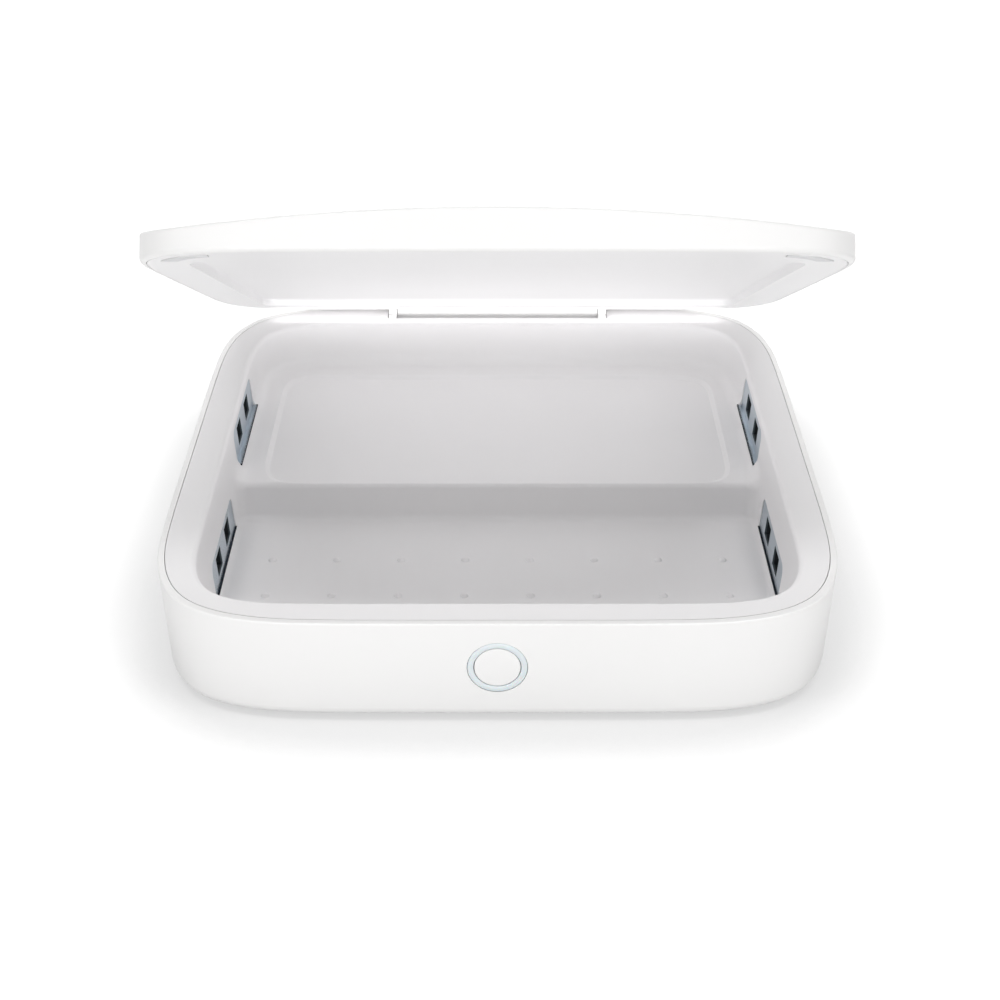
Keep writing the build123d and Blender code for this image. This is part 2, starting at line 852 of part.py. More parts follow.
def processor_chip():
    top = board_low + board_thickness
    middle = board_front_y + board_depth / 2
    return block((-chip_size / 2, chip_size / 2), (middle - chip_size / 2, middle + chip_size / 2),
                 (top, top + chip_height))


def driver_coil():
    top = board_low + board_thickness
    x = board_width / 4
    y = board_front_y + board_depth / 2
    coil = post(x, y, top, top + coil_height, coil_radius)
    return chamfer(edges_at(coil, top + coil_height), coil_chamfer)


def inlet_board():
    back = inlet_board_back()
    top = inlet_board_low + inlet_board_thickness
    board = block((-inlet_board_width / 2, inlet_board_width / 2), (back - inlet_board_depth, back),
                  (inlet_board_low, top))
    for x, y in inlet_posts():
        board -= post(x, y, 0, shelf_height, peg_radius + pin_run_gap)
    return board


def power_inlet():
    """Hollow stadium-shaped metal can with a contact tongue, seated on its board."""
    mouth = half_depth - wall_setback(inlet_height, base_draft) - inlet_recess
    back = mouth - inlet_length
    can = inlet_opening(0, back, mouth)
    can -= inlet_opening(-inlet_wall, back + inlet_wall * 2, mouth + cut_over)
    tongue = block((-tongue_width / 2, tongue_width / 2), (back, back + tongue_length),
                   (inlet_height - tongue_thickness / 2, inlet_height + tongue_thickness / 2))
    return can + tongue


def opened(piece):
    """Swing a lid piece from closed to its rest angle."""
    hinge_line = Axis((0, hinge_y, hinge_z), (-1, 0, 0))
    return piece.rotate(hinge_line, lid_rest_angle)


def base_pieces():
    pieces = {
        "outer_shell": outer_shell(),
        "inner_tray": inner_tray(),
        "bottom_cover": bottom_cover(),
        "control_board": control_board(),
        "processor_chip": processor_chip(),
        "driver_coil": driver_coil(),
        "inlet_board": inlet_board(),
        "power_inlet": power_inlet(),
        "light_ring": light_ring(),
        "switch_board": switch_board(),
        "tact_switch": tact_switch(),
        "lid_sensor": lid_sensor(),
    }
    for name, (side, y, z) in reflector_places.items():
        pieces["reflector_" + name] = lamp_reflector(side, y, z)
        pieces["lamp_board_" + name] = lamp_board(side, y, z)
        for end, step in (("near", -0.5), ("far", 0.5)):
            pieces["uv_lamp_" + name + "_" + end] = lamp(side, y, z, side * -step)
    for side, name in ((-1, "left"), (1, "right")):
        pieces["hinge_ear_" + name] = hinge_ear(side)
        pieces["hinge_pin_" + name] = hinge_pin(side)
    return pieces


def fasteners_and_feet():
    pieces = {}
    for number, (x, y) in enumerate(cover_screw_spots(), 1):
        pieces[f"cover_screw_{number}"] = screw(x, y, screw_seat, screw_head_radius, screw_head_height,
                                                screw_shank_radius, screw_length, False)
    for number, (x, y) in enumerate(board_posts(), 1):
        pieces[f"board_screw_{number}"] = screw(x, y, board_low + board_thickness, board_screw_head,
                                                board_screw_head_height, board_screw_radius,
                                                board_screw_length, True)
    for number, (x, y) in enumerate(ear_screw_spots(), 1):
        pieces[f"hinge_screw_{number}"] = screw(x, y, ledge_height - well_wall, hinge_screw_head,
                                                hinge_screw_head, hinge_screw_radius,
                                                well_wall + ledge_depth / 2, False)
    for number, (x, y) in enumerate(foot_spots(), 1):
        pieces[f"rubber_foot_{number}"] = rubber_foot(x, y)
    return pieces


def lid_pieces():
    pieces = {
        "lid_shell": lid_shell(),
        "lid_liner": lid_liner(),
        "lid_magnet": lid_magnet(),
        "lid_bumper_left": bumper(-1, bumper_sink, 0),
        "lid_bumper_right": bumper(1, bumper_sink, 0),
    }
    return {name: opened(piece) for name, piece in pieces.items()}


def main():
    os.makedirs("parts", exist_ok=True)
    pieces = base_pieces() | fasteners_and_feet() | lid_pieces()
    pieces["power_button"] = power_button()
    for name, piece in pieces.items():
        export_step(piece, f"parts/{name}.step")


main()
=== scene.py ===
import math

import bmesh
import bpy
from bpy.props import FloatProperty, FloatVectorProperty, PointerProperty
from mathutils import Matrix, Vector


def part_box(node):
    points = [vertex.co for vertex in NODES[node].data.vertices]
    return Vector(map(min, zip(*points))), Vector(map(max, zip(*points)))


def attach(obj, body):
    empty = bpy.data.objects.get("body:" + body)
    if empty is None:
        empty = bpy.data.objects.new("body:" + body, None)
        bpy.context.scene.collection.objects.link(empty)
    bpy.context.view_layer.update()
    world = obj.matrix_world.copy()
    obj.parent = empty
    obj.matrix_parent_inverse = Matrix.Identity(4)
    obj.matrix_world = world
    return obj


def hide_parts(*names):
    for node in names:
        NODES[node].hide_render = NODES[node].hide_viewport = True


bl_info = {
    "name": "Sanitizer Box Dresser",
    "version": (1, 0, 0),
    "blender": (4, 5, 0),
    "location": "3D View > Sidebar > Sanitizer Box",
    "description": "Dresses the sanitizer box and builds its studio",
    "category": "Object",
}

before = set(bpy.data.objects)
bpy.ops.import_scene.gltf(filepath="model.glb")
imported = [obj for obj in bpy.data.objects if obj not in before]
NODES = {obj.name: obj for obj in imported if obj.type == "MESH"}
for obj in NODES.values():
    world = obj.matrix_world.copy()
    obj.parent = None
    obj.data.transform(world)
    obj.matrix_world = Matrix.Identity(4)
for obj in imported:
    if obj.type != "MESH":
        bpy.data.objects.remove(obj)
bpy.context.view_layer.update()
MM = 0.001


# Sizes and colours that a user would change

class BoxFinish(bpy.types.PropertyGroup):
    """Colours of the box's plastics, pads and reflectors."""

    case_colour: FloatVectorProperty(
        name="Outer", description="Outer mouldings of the base and the lid", subtype="COLOR",
        size=3, min=0, max=1, default=(0.92, 0.915, 0.91))
    tray_colour: FloatVectorProperty(
        name="Tray", description="Inner tray moulding", subtype="COLOR",
        size=3, min=0, max=1, default=(0.915, 0.905, 0.91))
    liner_colour: FloatVectorProperty(
        name="Lid liner", description="Moulding under the lid", subtype="COLOR",
        size=3, min=0, max=1, default=(0.97, 0.965, 0.97))
    reflector_colour: FloatVectorProperty(
        name="Reflectors", description="Metallised lamp reflectors", subtype="COLOR",
        size=3, min=0, max=1, default=(0.58, 0.65, 0.71))
    ring_colour: FloatVectorProperty(
        name="Light ring", description="Light guide round the button", subtype="COLOR",
        size=3, min=0, max=1, default=(0.78, 0.84, 0.865))


class BoxButton(bpy.types.PropertyGroup):
    """Sizes of the power button and of the ring round it."""

    disc_radius: FloatProperty(
        name="Button radius", description="Radius of the push button", unit="LENGTH",
        default=6.6 * MM, precision=5)
    edge_radius: FloatProperty(
        name="Button edge", description="Rounding of the push button's edge", unit="LENGTH",
        default=0.32 * MM, precision=5)
    crown: FloatProperty(
        name="Button crown", description="How far the middle of the button stands out", unit="LENGTH",
        default=0.12 * MM, precision=5)
    ring_outer: FloatProperty(
        name="Ring outer radius", description="Outer radius of the light ring", unit="LENGTH",
        default=8.55 * MM, precision=5)
    ring_inner: FloatProperty(
        name="Ring inner radius", description="Inner radius of the light ring", unit="LENGTH",
        default=6.8 * MM, precision=5)
    ring_dome: FloatProperty(
        name="Ring dome", description="How far the ring's face bulges", unit="LENGTH",
        default=0.1 * MM, precision=5)


class BoxLamps(bpy.types.PropertyGroup):
    """Sizes of the lips and sills under the lamp reflectors."""

    lip_thickness: FloatProperty(
        name="Lip thickness", description="Thickness of a reflector's lower lip", unit="LENGTH",
        default=0.45 * MM, precision=5)
    lip_proud: FloatProperty(
        name="Lip reach", description="How far the lip stands out of the wall", unit="LENGTH",
        default=0.28 * MM, precision=5)
    lip_foot: FloatProperty(
        name="Lip foot", description="Height of the lip's foot over the wall", unit="LENGTH",
        default=0.15 * MM, precision=5)
    lip_overhang: FloatProperty(
        name="Lip overhang", description="How far the lip runs past the reflector's ends", unit="LENGTH",
        default=0.4 * MM, precision=5)


class BoxStudio(bpy.types.PropertyGroup):
    """Camera and light of the studio round the box."""

    lens: FloatProperty(
        name="Lens", description="Focal length for a 36 mm sensor", unit="CAMERA", min=10,
        default=61.56)
    camera_back: FloatProperty(
        name="Camera distance", description="How far in front of the box's middle the camera stands",
        unit="LENGTH", min=0.2, default=0.50126)
    camera_height: FloatProperty(
        name="Camera height", description="Height of the camera over the table", unit="LENGTH",
        min=0.05, default=0.30501)
    camera_pitch: FloatProperty(
        name="Camera pitch", description="How far the camera looks down", subtype="ANGLE",
        default=math.radians(30.37))
    ambient: FloatProperty(
        name="Ambient light", description="Strength of the room's even light", min=0, default=0.36)
    front_power: FloatProperty(
        name="Front lamp", description="Power of the wide, low lamp in front, in watts", min=0,
        default=15.8)
    top_power: FloatProperty(
        name="Top lamp", description="Power of the lamp overhead, in watts", min=0, default=7.2)
    side_power: FloatProperty(
        name="Side lamps", description="Power of each lamp at the sides, in watts", min=0, default=1.0)
    rear_power: FloatProperty(
        name="Rear lamp", description="Power of the lamp behind, in watts", min=0, default=9.0)
    hinge_power: FloatProperty(
        name="Hinge fill", description="Power of the narrow lamp that faces the hinge, in watts", min=0,
        precision=4, default=0.003)
    fill_power: FloatProperty(
        name="Shelf fill", description="Power of the small lamp over the shelf, in watts", min=0,
        precision=4, default=0.014)


def finish_settings():
    return bpy.context.scene.box_finish


def studio_settings():
    return bpy.context.scene.box_studio


# Modelling helpers

SMOOTH_ANGLE = math.radians(35.0)
TURN_STEPS = 96


def deselect():
    bpy.ops.object.select_all(action="DESELECT")


def edit(piece):
    """Opens a piece in edit mode, with vertices as what is selected."""
    bpy.context.view_layer.objects.active = piece
    piece.select_set(True)
    bpy.ops.object.mode_set(mode="EDIT")
    bpy.ops.mesh.select_mode(type="VERT")


def named(piece, name):
    piece.name = name
    piece.data.name = name
    return piece


def pick_faces(piece, test):
    """Selects only the faces that pass the test, in edit mode."""
    mesh = bmesh.from_edit_mesh(piece.data)
    bpy.ops.mesh.select_mode(type="FACE")
    bpy.ops.mesh.select_all(action="DESELECT")
    for face in mesh.faces:
        if test(face):
            face.select_set(True)
    bmesh.update_edit_mesh(piece.data)


def turn_faces_outward():
    """Turns every face of the mesh in edit mode outward."""
    bpy.ops.mesh.select_all(action="SELECT")
    bpy.ops.mesh.normals_make_consistent(inside=False)


def settled(piece, placement):
    """Moves a piece to its place with its origin left at zero, and smooths its shading."""
    bpy.ops.object.mode_set(mode="OBJECT")
    deselect()
    piece.select_set(True)
    bpy.context.view_layer.objects.active = piece
    piece.matrix_world = placement
    bpy.ops.object.transform_apply(location=True, rotation=True, scale=True)
    bpy.ops.object.shade_smooth_by_angle(angle=SMOOTH_ANGLE)
    deselect()
    return piece


def copied(piece, name, placement):
    """Copy with its own mesh, set at another place."""
    twin = piece.copy()
    twin.data = piece.data.copy()
    bpy.context.collection.objects.link(twin)
    return settled(named(twin, name), placement)


def turned(name, rings, placement, ends="filled", steps=TURN_STEPS):
    """Piece turned about its own Z axis: a circle that grows through rings of (radius, height)."""
    deselect()
    radius, height = rings[0]
    bpy.ops.mesh.primitive_circle_add(vertices=steps, radius=radius, location=(0, 0, height))
    piece = named(bpy.context.object, name)
    bpy.ops.object.transform_apply(location=True, rotation=True, scale=True)
    edit(piece)
    bpy.ops.mesh.select_all(action="SELECT")
    for (last_radius, last_height), (radius, height) in zip(rings, rings[1:]):
        bpy.ops.mesh.extrude_region_move(TRANSFORM_OT_translate={"value": (0, 0, height - last_height)})
        grow = radius / last_radius
        bpy.ops.transform.resize(value=(grow, grow, 1), center_override=(0, 0, height))
    if ends == "joined":
        bpy.ops.mesh.select_all(action="DESELECT")
        bpy.ops.mesh.select_non_manifold()
        bpy.ops.mesh.bridge_edge_loops()
    else:
        bpy.ops.mesh.select_all(action="SELECT")
        bpy.ops.mesh.fill_holes(sides=0)
    turn_faces_outward()
    return settled(piece, placement)


def arc_rings(start, end, bulge, count):
    """Rings (radius, height) from start to end along a line that bulges upwards in the middle."""
    rings = []
    for step in range(1, count + 1):
        share = step / count
        radius = start[0] + (end[0] - start[0]) * share
        height = start[1] + (end[1] - start[1]) * share + bulge * 4 * share * (1 - share)
        rings.append((radius, height))
    return rings


def facing(place, turn_x):
    return Matrix.Translation(place) @ Matrix.Rotation(turn_x, 4, "X")


# Node helpers

DRIFT_LOW = 0.3
DRIFT_HIGH = 0.7
PAINTED_SHADE_OPEN = 0.5


def new_material(name):
    material = bpy.data.materials.new(name)
    material.use_nodes = True
    material.node_tree.nodes.clear()
    return material


def add_node(tree, kind, place=(0, 0), **values):
    """New node; keywords set its properties, or an input where the name is one."""
    node = tree.nodes.new(kind)
    node.location = place
    for key, value in values.items():
        label = key.replace("_", " ").title()
        if hasattr(node, key):
            setattr(node, key, value)
        else:
            node.inputs[label].default_value = value
    return node


def map_range(tree, place, low, high, to_low=0.0, to_high=1.0, **values):
    """Map Range node from low..high to to_low..to_high."""
    node = add_node(tree, "ShaderNodeMapRange", place, **values)
    for label, value in (("From Min", low), ("From Max", high), ("To Min", to_low), ("To Max", to_high)):
        node.inputs[label].default_value = value
    return node


def join(tree, source, target):
    tree.links.new(source, target)


def group_with(name, inputs, outputs):
    """Empty shader node group with named sockets, and its two ends."""
    group = bpy.data.node_groups.new(name, "ShaderNodeTree")
    for label, kind, value in inputs:
        socket = group.interface.new_socket(name=label, in_out="INPUT", socket_type=kind)
        socket.default_value = value
    for label, kind in outputs:
        group.interface.new_socket(name=label, in_out="OUTPUT", socket_type=kind)
    return group, add_node(group, "NodeGroupInput", (-900, 0)), add_node(group, "NodeGroupOutput", (700, 0))


def moulding_group():
    """Fine moulded grain with slow waves, a colour drift and a roughness drift."""
    group, inputs, outputs = group_with(
        "Moulded Surface",
        [("Colour", "NodeSocketColor", (0.8, 0.8, 0.8, 1)), ("Shade", "NodeSocketColor", (0.7, 0.7, 0.7, 1)),
         ("Grain Size", "NodeSocketFloat", 2500.0), ("Grain Height", "NodeSocketFloat", 0.00001),
         ("Roughness", "NodeSocketFloat", 0.4), ("Roughness Drift", "NodeSocketFloat", 0.08)],
        [("Colour", "NodeSocketColor"), ("Roughness", "NodeSocketFloat"), ("Normal", "NodeSocketVector")])
    place = add_node(group, "ShaderNodeTexCoord", (-900, -300))
    grain = add_node(group, "ShaderNodeTexNoise", (-600, -100), detail=3.0)
    drift = add_node(group, "ShaderNodeTexNoise", (-600, -400), scale=16.0, detail=4.0)
    for texture in (grain, drift):
        join(group, place.outputs["Object"], texture.inputs["Vector"])
    join(group, inputs.outputs["Grain Size"], grain.inputs["Scale"])
    tint = add_node(group, "ShaderNodeMix", (0, 200), data_type="RGBA")
    steer = map_range(group, (-300, -400), DRIFT_LOW, DRIFT_HIGH)
    join(group, drift.outputs["Fac"], steer.inputs["Value"])
    join(group, steer.outputs["Result"], tint.inputs["Factor"])
    join(group, inputs.outputs["Colour"], tint.inputs["A"])
    join(group, inputs.outputs["Shade"], tint.inputs["B"])
    join(group, tint.outputs["Result"], outputs.inputs["Colour"])
    rough = add_node(group, "ShaderNodeMath", (0, -200), operation="MULTIPLY_ADD")
    join(group, steer.outputs["Result"], rough.inputs[0])
    join(group, inputs.outputs["Roughness Drift"], rough.inputs[1])
    join(group, inputs.outputs["Roughness"], rough.inputs[2])
    join(group, rough.outputs["Value"], outputs.inputs["Roughness"])
    bump = add_node(group, "ShaderNodeBump", (300, -300))
    join(group, inputs.outputs["Grain Height"], bump.inputs["Distance"])
    join(group, grain.outputs["Fac"], bump.inputs["Height"])
    join(group, bump.outputs["Normal"], outputs.inputs["Normal"])
    return group


def painted_shade_group():
    """Painted shade: a mask from ambient occlusion that is 1 in the open and 1 less the depth deep in seams
    and corners, multiplied into a colour.
    """
    group, inputs, outputs = group_with(
        "Seam Shade", [("Reach", "NodeSocketFloat", 0.002), ("Depth", "NodeSocketFloat", 0.5)],
        [("Mask", "NodeSocketFloat")])
    shade = add_node(group, "ShaderNodeAmbientOcclusion", (-400, 0), samples=8)
    join(group, inputs.outputs["Reach"], shade.inputs["Distance"])
    soften = map_range(group, (-100, 0), 0.0, PAINTED_SHADE_OPEN)
    join(group, shade.outputs["AO"], soften.inputs["Value"])
    mask = add_node(group, "ShaderNodeMath", (200, 0), operation="SUBTRACT", use_clamp=True)
    mask.inputs[0].default_value = 1.0
    keep = add_node(group, "ShaderNodeMath", (50, -200), operation="MULTIPLY_ADD")
    keep.inputs[1].default_value = -1.0
    join(group, soften.outputs["Result"], keep.inputs[0])
    join(group, inputs.outputs["Depth"], keep.inputs[2])
    keep.use_clamp = True
    join(group, keep.outputs["Value"], mask.inputs[1])
    join(group, mask.outputs["Value"], outputs.inputs["Mask"])
    return group


GROUPS = {}


def shared(name, build):
    """The shared node group of that name, built the first time it is asked for."""
    if name not in GROUPS:
        GROUPS[name] = build()
    return GROUPS[name]


def use_group(tree, group, place, **values):
    node = add_node(tree, "ShaderNodeGroup", place)
    node.node_tree = group
    for key, value in values.items():
        node.inputs[key.replace("_", " ").title()].default_value = value
    return node


def opaque(colour):
    return (colour[0], colour[1], colour[2], 1.0)


def shaded(colour, factor):
    return (colour[0] * factor, colour[1] * factor, colour[2] * factor, 1.0)


def surface(name, colour, shade=0.985, grain=2500.0, height=0.000006, rough=0.4, drift=0.08,
            painted_shade_reach=0.0016, painted_shade_depth=0.35, **shader):
    """Material of one moulded or metal finish, its colour darkened by painted shade in seams and corners;
    keywords set the Principled shader's own sockets.
    """
    material = new_material(name)
    tree = material.node_tree
    skin = use_group(tree, shared("moulding", moulding_group), (-700, 0), Colour=opaque(colour),
                     Shade=shaded(colour, shade), Grain_Size=grain, Grain_Height=height, Roughness=rough,
                     Roughness_Drift=drift)
    seam = use_group(tree, shared("seam", painted_shade_group), (-700, 400), Reach=painted_shade_reach, Depth=painted_shade_depth)
    # Painted shade: the colour is multiplied by the occlusion mask, so seams and corners come out darker.
    dark = add_node(tree, "ShaderNodeMix", (-350, 200), data_type="RGBA", blend_type="MULTIPLY")
    dark.inputs["Factor"].default_value = 1.0
    join(tree, skin.outputs["Colour"], dark.inputs["A"])
    join(tree, seam.outputs["Mask"], dark.inputs["B"])
    shader_node = add_node(tree, "ShaderNodeBsdfPrincipled", (0, 0))
    for key, value in shader.items():
        shader_node.inputs[key.replace("_", " ").title().replace("Ior", "IOR")].default_value = value
    join(tree, dark.outputs["Result"], shader_node.inputs["Base Color"])
    join(tree, skin.outputs["Roughness"], shader_node.inputs["Roughness"])
    join(tree, skin.outputs["Normal"], shader_node.inputs["Normal"])
    result = add_node(tree, "ShaderNodeOutputMaterial", (300, 0))
    join(tree, shader_node.outputs["BSDF"], result.inputs["Surface"])
    return material


def give(piece, material):
    piece.data.materials.clear()
    piece.data.materials.append(material)


def node_material(name):
    """Finish that a CAD node already wears."""
    return NODES[name].data.materials[0]


def give_nodes(material, *starts):
    """Puts a material on every CAD node whose name starts with one of the words."""
    for name, node in NODES.items():
        if name.startswith(starts):
            give(node, material)


# Stage

def seen_rays(tree, place):
    """1 for rays from the camera, from mirrors and through glass, and 0 for light on the object."""
    rays = add_node(tree, "ShaderNodeLightPath", (place[0] - 600, place[1]))
    first = add_node(tree, "ShaderNodeMath", (place[0] - 300, place[1]), operation="MAXIMUM")
    second = add_node(tree, "ShaderNodeMath", place, operation="MAXIMUM")
    join(tree, rays.outputs["Is Camera Ray"], first.inputs[0])
    join(tree, rays.outputs["Is Glossy Ray"], first.inputs[1])
    join(tree, first.outputs["Value"], second.inputs[0])
    join(tree, rays.outputs["Is Transmission Ray"], second.inputs[1])
    return second.outputs["Value"]


def light_world():
    world = bpy.data.worlds.new("Studio Room")
    world.use_nodes = True
    tree = world.node_tree
    tree.nodes.clear()
    level = add_node(tree, "ShaderNodeMix", (0, 0), data_type="FLOAT")
    level.inputs["A"].default_value = studio_settings().ambient
    level.inputs["B"].default_value = 1.0
    join(tree, seen_rays(tree, (-300, 0)), level.inputs["Factor"])
    background = add_node(tree, "ShaderNodeBackground", (300, 0))
    background.inputs["Color"].default_value = (1.0, 1.0, 1.0, 1.0)
    join(tree, level.outputs["Result"], background.inputs["Strength"])
    result = add_node(tree, "ShaderNodeOutputWorld", (600, 0))
    join(tree, background.outputs["Background"], result.inputs["Surface"])
    bpy.context.scene.world = world


# Lengths here are in metres, apart from the sensor's width, which is in millimetres

FLOOR_COLOUR = 0.75
FLOOR_LIFT = 0.56
FLOOR_SIZE = 9.0
FLOOR_NEAR = 0.35
FLOOR_FAR = 1.2
# Painted contact shadow on the floor card: occlusion reach, darkest share, and the occlusion levels where it
# starts and ends
SHADOW_REACH = 0.04
SHADOW_DEPTH = 0.45
SHADOW_CLOSED = 0.65
SHADOW_OPEN = 0.97
SENSOR_WIDTH = 36.0
SENSOR_SHIFT = 0.0026
CLIP_NEAR = 0.02
CLIP_FAR = 30.0
BOX_MIDDLE = (0, 0, 0.04)
LAMPS = (
    # name, place, target, width, height, setting that holds its power
    ("Front Lamp", (0.0, -1.7, 0.12), BOX_MIDDLE, 2.0, 0.24, "front_power"),
    ("Top Lamp", (0.0, -0.25, 1.4), (0, -0.12, 0.03), 1.2, 0.3, "top_power"),
    ("Left Lamp", (-1.4, -0.2, 0.6), BOX_MIDDLE, 1.0, 0.8, "side_power"),
    ("Right Lamp", (1.4, -0.2, 0.6), BOX_MIDDLE, 1.0, 0.8, "side_power"),
    ("Rear Lamp", (0.0, 1.7, 0.6), BOX_MIDDLE, 2.0, 0.6, "rear_power"),
    ("Hinge Fill", (0.0, 0.0935, 0.0385), (0, 0.105, 0.0372), 0.17, 0.003, "hinge_power"),
    ("Shelf Fill", (0.0, 0.03, 0.0285), (0, 0.03, 1.0), 0.15, 0.1, "fill_power"),
)


def floor_material():
    """White card that the camera sees as white where nothing shades it; near the box a painted contact
    shadow from ambient occlusion darkens its colour.
    """
    material = new_material("Floor Card")
    tree = material.node_tree
    grain = add_node(tree, "ShaderNodeTexNoise", (-900, 200), scale=900.0, detail=2.0)
    place = add_node(tree, "ShaderNodeTexCoord", (-1100, 200))
    join(tree, place.outputs["Object"], grain.inputs["Vector"])
    card = add_node(tree, "ShaderNodeBsdfDiffuse", (0, 200))
    # Painted contact shadow: ambient occlusion darkens the card's colour near the box.
    near = add_node(tree, "ShaderNodeAmbientOcclusion", (-500, 450), samples=16)
    near.inputs["Distance"].default_value = SHADOW_REACH
    open_share = map_range(tree, (-300, 450), SHADOW_CLOSED, SHADOW_OPEN, to_low=SHADOW_DEPTH)
    join(tree, near.outputs["AO"], open_share.inputs["Value"])
    painted_shadow_grey = add_node(tree, "ShaderNodeMix", (-150, 450), data_type="RGBA")
    painted_shadow_grey.inputs["A"].default_value = (0.0, 0.0, 0.0, 1.0)
    painted_shadow_grey.inputs["B"].default_value = (FLOOR_COLOUR, FLOOR_COLOUR, FLOOR_COLOUR, 1.0)
    join(tree, open_share.outputs["Result"], painted_shadow_grey.inputs["Factor"])
    join(tree, painted_shadow_grey.outputs["Result"], card.inputs["Color"])
    bump = add_node(tree, "ShaderNodeBump", (-600, 200), strength=0.02)
    join(tree, grain.outputs["Fac"], bump.inputs["Height"])
    join(tree, bump.outputs["Normal"], card.inputs["Normal"])
    lift = add_node(tree, "ShaderNodeMath", (-50, -100), operation="MULTIPLY")
    far = add_node(tree, "ShaderNodeVectorMath", (-600, -250), operation="LENGTH")
    join(tree, place.outputs["Object"], far.inputs[0])
    fade = map_range(tree, (-400, -250), FLOOR_NEAR, FLOOR_FAR, to_low=FLOOR_LIFT,
                     interpolation_type="SMOOTHSTEP")
    join(tree, far.outputs["Value"], fade.inputs["Value"])
    join(tree, fade.outputs["Result"], lift.inputs[1])
    join(tree, seen_rays(tree, (-300, -100)), lift.inputs[0])
    glow = add_node(tree, "ShaderNodeEmission", (200, -100))
    join(tree, lift.outputs["Value"], glow.inputs["Strength"])
    both = add_node(tree, "ShaderNodeAddShader", (400, 0))
    join(tree, card.outputs["BSDF"], both.inputs[0])
    join(tree, glow.outputs["Emission"], both.inputs[1])
    result = add_node(tree, "ShaderNodeOutputMaterial", (600, 0))
    join(tree, both.outputs["Shader"], result.inputs["Surface"])
    return material


def add_lamp(name, place, target, width, height, power):
    """Rectangular soft lamp that faces a point."""
    bpy.ops.object.light_add(type="AREA", location=place)
    lamp = bpy.context.object
    lamp.name = name
    lamp.data.shape = "RECTANGLE"
    lamp.data.size = width
    lamp.data.size_y = height
    lamp.data.energy = power
    lamp.visible_camera = False
    lamp.rotation_euler = (Vector(target) - Vector(place)).to_track_quat("-Z", "Y").to_euler()


def add_camera():
    settings = studio_settings()
    bpy.ops.object.camera_add(location=(0, -settings.camera_back, settings.camera_height))
    camera = bpy.context.object
    camera.name = "Studio Camera"
    camera.rotation_euler = (math.pi / 2 - settings.camera_pitch, 0, 0)
    camera.data.sensor_width = SENSOR_WIDTH
    camera.data.lens = settings.lens
    camera.data.shift_x = SENSOR_SHIFT
    camera.data.clip_start = CLIP_NEAR
    camera.data.clip_end = CLIP_FAR
    bpy.context.scene.camera = camera


class BOX_OT_stage(bpy.types.Operator):
    """Floor, soft lamps, room light and camera"""

    bl_idname = "box.stage"
    bl_label = "Build Studio"

    def execute(self, context):
        deselect()
        bpy.ops.mesh.primitive_plane_add(size=FLOOR_SIZE, location=(0, 0, 0))
        floor = context.object
        floor.name = "studio_floor"
        give(floor, floor_material())
        settings = studio_settings()
        for name, place, target, width, height, power in LAMPS:
            add_lamp(name, place, target, width, height, getattr(settings, power))
        light_world()
        add_camera()
        context.scene.view_settings.view_transform = "Standard"
        return {"FINISHED"}


# Finishes of the CAD nodes

class BOX_OT_finishes(bpy.types.Operator):
    """Plastics, metals, boards and rubber of the CAD pieces"""

    bl_idname = "box.finishes"
    bl_label = "Finish Base and Lid"

    def execute(self, context):
        colours = finish_settings()
        # painted_shade_depth sets how far painted shade darkens each finish's seams and corners.
        case = surface("Outer Plastic", colours.case_colour, rough=0.34, drift=0.05, painted_shade_depth=0.12,
                       specular_ior_level=0.38, coat_weight=0.08, coat_roughness=0.2)
        tray = surface("Tray Plastic", colours.tray_colour, rough=0.5, drift=0.06, height=0.000012,
                       painted_shade_depth=0.05, specular_ior_level=0.35)
        liner = surface("Liner Plastic", colours.liner_colour, rough=0.42, drift=0.05, painted_shade_depth=0.08,
                        specular_ior_level=0.4)
        give_nodes(case, "outer_shell", "lid_shell", "hinge_ear", "power_button")
        give_nodes(tray, "inner_tray")
        give_nodes(liner, "lid_liner")
        give_nodes(surface("Cover Plastic", (0.74, 0.74, 0.735), grain=1400.0, height=0.00003, rough=0.6,
                           specular_ior_level=0.3), "bottom_cover")
        give_nodes(surface("Foot Rubber", (0.30, 0.31, 0.32), grain=1800.0, height=0.00004, rough=0.78,
                           specular_ior_level=0.25), "rubber_foot")
        give_nodes(surface("Bumper Pad", (0.80, 0.80, 0.81), grain=1800.0, height=0.00002, rough=0.7,
                           specular_ior_level=0.25), "lid_bumper")
        give_nodes(surface("Reflector Metal", colours.reflector_colour, shade=0.85, grain=600.0,
                           height=0.00001, rough=0.26, drift=0.1, metallic=0.85), "reflector")
        give_nodes(surface("Lamp Glass", (0.012, 0.016, 0.03), shade=0.7, rough=0.35, drift=0.1,
                           specular_ior_level=0.15), "uv_lamp")
        give_nodes(surface("Circuit Board", (0.03, 0.18, 0.09), shade=0.6, grain=500.0, height=0.00002,
                           rough=0.35), "control_board", "switch_board", "inlet_board")
        give_nodes(surface("Lamp Board", (0.02, 0.024, 0.03), shade=0.6, grain=500.0, height=0.00002,
                           rough=0.6, specular_ior_level=0.1), "lamp_board")
        give_nodes(surface("Chip Package", (0.02, 0.02, 0.022), rough=0.55), "processor_chip",
                   "lid_sensor", "tact_switch")
        give_nodes(surface("Coil Ferrite", (0.05, 0.05, 0.052), rough=0.6), "driver_coil")
        give_nodes(surface("Bright Steel", (0.58, 0.58, 0.59), shade=0.9, grain=900.0, height=0.000008,
                           rough=0.28, metallic=1.0), "power_inlet", "hinge_pin", "lid_magnet",
                   "cover_screw", "board_screw", "hinge_screw")
        give_nodes(surface("Light Guide", colours.ring_colour, rough=0.3, specular_ior_level=0.5),
                   "light_ring")
        return {"FINISHED"}


# Front wall: the button and the ring round it

